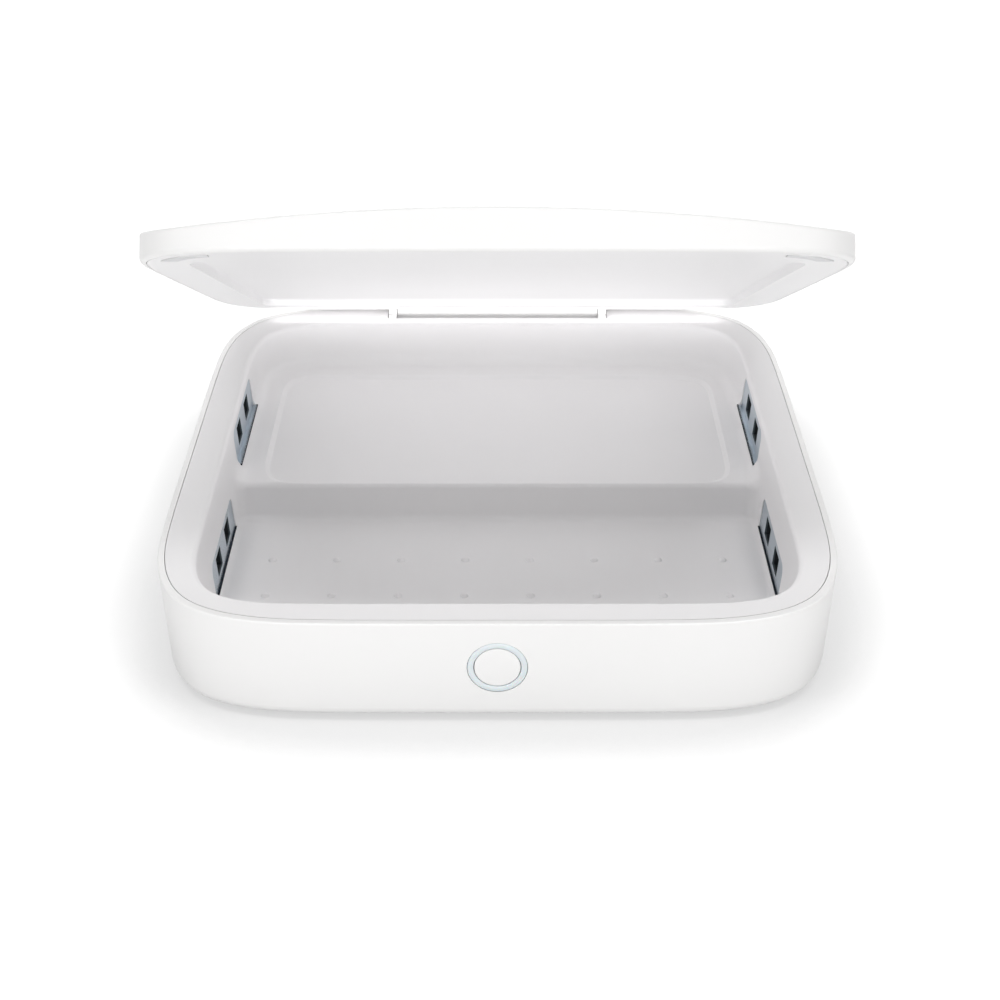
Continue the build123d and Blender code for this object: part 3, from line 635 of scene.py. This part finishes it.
WALL_LEAN = math.radians(2.0)
OUTWARD = math.pi / 2 + WALL_LEAN
BUTTON_BACK = 2.4 * MM
BUTTON_BACK_INSET = 1.3 * MM
BUTTON_MIDDLE = 0.12 * MM
EDGE_STEPS = 5
CROWN_STEPS = 8
RING_BACK = 3.0 * MM
RING_EDGE = 0.16 * MM
RING_EDGE_BREAK = 0.3
RING_STEPS = 8


def wall_spot(node):
    """Middle of a round node on the leaning front wall, and its radius."""
    low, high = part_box(node)
    radius = (high[2] - low[2]) / 2
    return Vector((0, low[1] + radius * math.tan(WALL_LEAN), (low[2] + high[2]) / 2))


class BOX_OT_button(bpy.types.Operator):
    """Crowned push button with a softened edge"""

    bl_idname = "box.button"
    bl_label = "Build Power Button"

    def execute(self, context):
        settings = context.scene.box_button
        edge = settings.edge_radius
        disc = settings.disc_radius
        rings = [(disc - BUTTON_BACK_INSET, -BUTTON_BACK), (disc, -BUTTON_BACK), (disc, -edge)]
        for step in range(1, EDGE_STEPS + 1):
            turn = math.radians(90 * step / EDGE_STEPS)
            rings.append((disc - edge + edge * math.cos(turn), -edge + edge * math.sin(turn)))
        flat = disc - edge
        for step in range(1, CROWN_STEPS + 1):
            radius = flat * (1 - step / CROWN_STEPS) + BUTTON_MIDDLE
            rings.append((radius, settings.crown * (1 - (radius / flat) ** 2)))
        button = turned("button_cap", rings, facing(wall_spot("power_button"), OUTWARD))
        give(button, surface("Button Plastic", finish_settings().case_colour, rough=0.3, drift=0.05,
                             specular_ior_level=0.45, coat_weight=0.2, coat_roughness=0.15))
        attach(button, "button")
        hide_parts("power_button")
        return {"FINISHED"}


class BOX_OT_ring(bpy.types.Operator):
    """Light guide round the button, with a domed face between two softened edges"""

    bl_idname = "box.ring"
    bl_label = "Build Light Ring"

    def execute(self, context):
        settings = context.scene.box_button
        outer = settings.ring_outer
        inner = settings.ring_inner
        soft = RING_EDGE
        chamfer = soft * RING_EDGE_BREAK
        rings = [(outer, -RING_BACK), (outer, -soft), (outer - chamfer, -chamfer), (outer - soft, 0)]
        rings += arc_rings((outer - soft, 0), (inner + soft, 0), settings.ring_dome, RING_STEPS)
        rings += [(inner + chamfer, -chamfer), (inner, -soft), (inner, -RING_BACK)]
        ring = turned("ring_lens", rings, facing(wall_spot("power_button"), OUTWARD), ends="joined")
        give(ring, surface("Light Guide", finish_settings().ring_colour, shade=0.94, grain=700.0,
                           height=0.000015, rough=0.22, drift=0.1, specular_ior_level=0.6,
                           coat_weight=0.3, coat_roughness=0.1, subsurface_weight=0.15,
                           subsurface_scale=0.002))
        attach(ring, "base")
        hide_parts("light_ring")
        return {"FINISHED"}


# Lamp reflectors in the tray's side walls

CAVITY_LEAN = math.radians(4.0)
REFLECTOR_HALF_HEIGHT = 5.8 * MM
REFLECTOR_LENGTH = 44.0 * MM
REFLECTOR_SINK = 0.3 * MM
REFLECTOR_FLANGE_DEPTH = 2.8 * MM
SHELF_ROUNDING = 1.15 * MM
CUP_MOUTH = (8.6 * MM, 6.8 * MM)
CUP_HOLE = 4.6 * MM
CUP_DEPTH = 2.2 * MM
CUP_PITCH = 18.2 * MM
CUP_WALL = 0.1 * MM
# (depth where a step starts, share of painted shade from there down) for the cup linings
CUP_SHADE_STEPS = ((0.42 * MM, 0.3), (0.58 * MM, 1.0), (CUP_DEPTH, 1.0))
FACES_DOWN = -0.9
LIP_ROOT = 0.05 * MM
LIP_STEP = 0.6
LIP_BEVEL = 0.4
SILL_BEVEL = 0.3
REFLECTORS = ("rear_left", "rear_right", "front_left", "front_right")


def reflector_frame(name):
    """Placement on a cavity wall: X runs along the wall, Y up it, Z into the cavity."""
    side = -1 if name.endswith("left") else 1
    low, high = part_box("reflector_" + name)
    middle = (Vector(low) + Vector(high)) / 2
    middle.z += REFLECTOR_FLANGE_DEPTH * math.sin(CAVITY_LEAN)
    inner = min(abs(low[0]), abs(high[0]))
    foot = inner + REFLECTOR_HALF_HEIGHT * math.sin(CAVITY_LEAN)
    up = Vector((side * math.sin(CAVITY_LEAN), 0, math.cos(CAVITY_LEAN)))
    inward = Vector((-side * math.cos(CAVITY_LEAN), 0, math.sin(CAVITY_LEAN)))
    along = up.cross(inward)
    place = Matrix((along, up, inward)).transposed().to_4x4()
    place.translation = Vector((side * foot, middle.y, middle.z))
    return place


def flat_box(name, size, middle):
    """Box of a size about a middle point, opened in edit mode with everything selected."""
    deselect()
    bpy.ops.mesh.primitive_cube_add(size=1.0)
    piece = named(bpy.context.object, name)
    piece.scale = size
    piece.location = middle
    bpy.ops.object.transform_apply(location=True, rotation=True, scale=True)
    edit(piece)
    bpy.ops.mesh.select_all(action="SELECT")
    return piece


class BOX_OT_sills(bpy.types.Operator):
    """Dark lips along the lower edges of the lamp reflectors, and bright sills under the rear ones"""

    bl_idname = "box.sills"
    bl_label = "Build Reflector Lips"

    def execute(self, context):
        settings = context.scene.box_lamps
        thick = settings.lip_thickness
        foot = REFLECTOR_SINK + settings.lip_foot
        reach = REFLECTOR_SINK + settings.lip_proud
        height = -REFLECTOR_HALF_HEIGHT - thick / 2
        lip = flat_box("lip", (REFLECTOR_LENGTH + 2 * settings.lip_overhang, thick, reach + LIP_ROOT),
                       (0, height, (reach - LIP_ROOT) / 2))
        bpy.ops.mesh.bisect(plane_co=(0, 0, foot), plane_no=(0, 0, 1))
        pick_faces(lip, lambda face: face.normal.y < FACES_DOWN and face.calc_center_median().z < foot)
        bpy.ops.mesh.extrude_region_move(TRANSFORM_OT_translate={"value": (0, -thick * LIP_STEP, 0)})
        turn_faces_outward()
        bpy.ops.mesh.bevel(offset=settings.lip_foot * LIP_BEVEL, segments=2, affect="EDGES")
        bpy.ops.object.mode_set(mode="OBJECT")
        # Dark strip along each reflector's lower edge.
        give(lip, surface("Lip Rubber", (0.02, 0.026, 0.036), grain=1500.0, height=0.00002, rough=0.7,
                          drift=0.15, specular_ior_level=0.1))
        ledge = REFLECTOR_SINK + SHELF_ROUNDING
        sill = flat_box("sill", (REFLECTOR_LENGTH, thick, ledge + 2 * settings.lip_foot),
                        (0, height, ledge / 2))
        bpy.ops.mesh.bevel(offset=settings.lip_foot * SILL_BEVEL, segments=2, affect="EDGES")
        bpy.ops.object.mode_set(mode="OBJECT")
        give(sill, node_material("reflector_" + REFLECTORS[0]))
        for name in REFLECTORS:
            place = reflector_frame(name)
            if name.startswith("rear"):
                ramp = copied(sill, "reflector_sill_" + name, place)
                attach(ramp, "base")
                place = place @ Matrix.Translation((0, 0, SHELF_ROUNDING))
            piece = copied(lip, "reflector_lip_" + name, place)
            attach(piece, "base")
        bpy.data.objects.remove(lip)
        bpy.data.objects.remove(sill)
        return {"FINISHED"}


def painted_shade_cup_material():
    """Painted shade for the cup linings: a dark wall that goes from slate at the cup's mouth to black round
    the lamp.
    """
    material = surface("Cup Metal", (0.06, 0.08, 0.09), rough=0.5, drift=0.1, specular_ior_level=0.15)
    tree = material.node_tree
    deep = add_node(tree, "ShaderNodeAttribute", (-900, 700), attribute_name="depth")
    # Painted shade: the depth attribute multiplies the colour towards near black.
    fade = add_node(tree, "ShaderNodeMix", (-150, 500), data_type="RGBA", blend_type="MULTIPLY")
    fade.inputs["B"].default_value = (0.07, 0.08, 0.1, 1.0)
    shader_node = tree.nodes["Principled BSDF"]
    colour = shader_node.inputs["Base Color"].links[0].from_socket
    join(tree, deep.outputs["Fac"], fade.inputs["Factor"])
    join(tree, colour, fade.inputs["A"])
    join(tree, fade.outputs["Result"], shader_node.inputs["Base Color"])
    return material


def cup_width(mouth, depth):
    """Width at a depth of a funnel whose mouth has that width."""
    return mouth + (CUP_HOLE - mouth) * depth / CUP_DEPTH


def painted_cup_shade(depth):
    """How much painted shade the lining gets at a depth: the largest shade of the steps above it."""
    return max([shade for start, shade in CUP_SHADE_STEPS if start < depth] + [0.0])


class BOX_OT_cups(bpy.types.Operator):
    """Dark, funnel-shaped linings of the cups in the lamp reflectors, painted as shade that grows darker
    with depth
    """

    bl_idname = "box.cups"
    bl_label = "Build Lamp Cups"

    def execute(self, context):
        deselect()
        bpy.ops.mesh.primitive_plane_add(size=1.0)
        cup = named(context.object, "cup")
        cup.scale = (CUP_MOUTH[0] - 2 * CUP_WALL, CUP_MOUTH[1] - 2 * CUP_WALL, 1)
        bpy.ops.object.transform_apply(location=True, rotation=True, scale=True)
        edit(cup)
        bpy.ops.mesh.select_all(action="SELECT")
        last = 0.0
        for depth, _ in CUP_SHADE_STEPS:
            bpy.ops.mesh.extrude_region_move(TRANSFORM_OT_translate={"value": (0, 0, last - depth)})
            grow = [cup_width(mouth, depth) / cup_width(mouth, last) for mouth in CUP_MOUTH]
            bpy.ops.transform.resize(value=(grow[0], grow[1], 1), center_override=(0, 0, -depth))
            last = depth
        pick_faces(cup, lambda face: face.calc_center_median().z > -CUP_WALL)
        bpy.ops.mesh.delete(type="FACE")
        turn_faces_outward()
        bpy.ops.object.mode_set(mode="OBJECT")
        deselect()
        cup.select_set(True)
        wall = cup.modifiers.new("Wall", "SOLIDIFY")
        wall.thickness = CUP_WALL / 2
        wall.offset = 0.0
        context.view_layer.objects.active = cup
        bpy.ops.object.modifier_apply(modifier=wall.name)
        edit(cup)
        turn_faces_outward()
        bpy.ops.object.mode_set(mode="OBJECT")
        # Share of painted shade at each corner, from its depth in the cup.
        painted_shades = cup.data.attributes.new("depth", "FLOAT", "POINT")
        for corner in cup.data.vertices:
            painted_shades.data[corner.index].value = painted_cup_shade(-corner.co.z + CUP_WALL)
        give(cup, painted_shade_cup_material())
        for name in REFLECTORS:
            for step, end in ((-0.5, "near"), (0.5, "far")):
                place = reflector_frame(name) @ Matrix.Translation((step * CUP_PITCH, 0, 0))
                piece = copied(cup, "lamp_cup_" + name + "_" + end, place)
                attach(piece, "base")
        bpy.data.objects.remove(cup)
        return {"FINISHED"}


# Underside: grooved feet

FOOT_STEPS = 64
FOOT_COUNT = 4

# (radius, height) of the turned foot in millimetres, from its top edge round to the sole's middle
FOOT_RINGS = ((5.5, 2.0), (6.0, 2.0), (6.0, 0.6), (5.92, 0.28), (5.7, 0.07), (5.4, 0.0), (4.5, 0.0),
              (4.4, 0.35), (3.6, 0.35), (3.5, 0.0), (2.4, 0.0), (2.3, 0.35), (0.2, 0.35))


class BOX_OT_feet(bpy.types.Operator):
    """Rubber feet with a rounded edge and a grooved sole"""

    bl_idname = "box.feet"
    bl_label = "Build Feet"

    def execute(self, context):
        rings = [(radius * MM, height * MM) for radius, height in FOOT_RINGS]
        for number in range(1, FOOT_COUNT + 1):
            node = "rubber_foot_%d" % number
            low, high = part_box(node)
            place = Matrix.Translation(((low[0] + high[0]) / 2, (low[1] + high[1]) / 2, 0))
            foot = turned("foot_pad_%d" % number, rings, place, steps=FOOT_STEPS)
            give(foot, node_material(node))
            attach(foot, "base")
            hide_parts(node)
        return {"FINISHED"}


class BOX_PT_panel(bpy.types.Panel):
    """Sizes, colours and build steps of the sanitizer box"""

    bl_idname = "BOX_PT_panel"
    bl_label = "Sanitizer Box"
    bl_space_type = "VIEW_3D"
    bl_region_type = "UI"
    bl_category = "Sanitizer Box"

    def draw(self, context):
        layout = self.layout
        groups = (context.scene.box_finish, context.scene.box_button, context.scene.box_lamps,
                  context.scene.box_studio)
        for settings in groups:
            for name in settings.bl_rna.properties.keys():
                if name not in ("rna_type", "name"):
                    layout.prop(settings, name)
        for operator in OPERATORS:
            layout.operator(operator.bl_idname)


OPERATORS = (BOX_OT_finishes, BOX_OT_button, BOX_OT_ring, BOX_OT_sills, BOX_OT_cups, BOX_OT_feet,
             BOX_OT_stage)
CLASSES = (BoxFinish, BoxButton, BoxLamps, BoxStudio) + OPERATORS + (BOX_PT_panel,)


def register():
    for cls in CLASSES:
        bpy.utils.register_class(cls)
    bpy.types.Scene.box_finish = PointerProperty(type=BoxFinish)
    bpy.types.Scene.box_button = PointerProperty(type=BoxButton)
    bpy.types.Scene.box_lamps = PointerProperty(type=BoxLamps)
    bpy.types.Scene.box_studio = PointerProperty(type=BoxStudio)


def unregister():
    del bpy.types.Scene.box_finish
    del bpy.types.Scene.box_button
    del bpy.types.Scene.box_lamps
    del bpy.types.Scene.box_studio
    for cls in reversed(CLASSES):
        bpy.utils.unregister_class(cls)


def main():
    register()
    bpy.ops.box.finishes()
    bpy.ops.box.button()
    bpy.ops.box.ring()
    bpy.ops.box.sills()
    bpy.ops.box.cups()
    bpy.ops.box.feet()
    bpy.ops.box.stage()


if __name__ == "__main__":
    main()
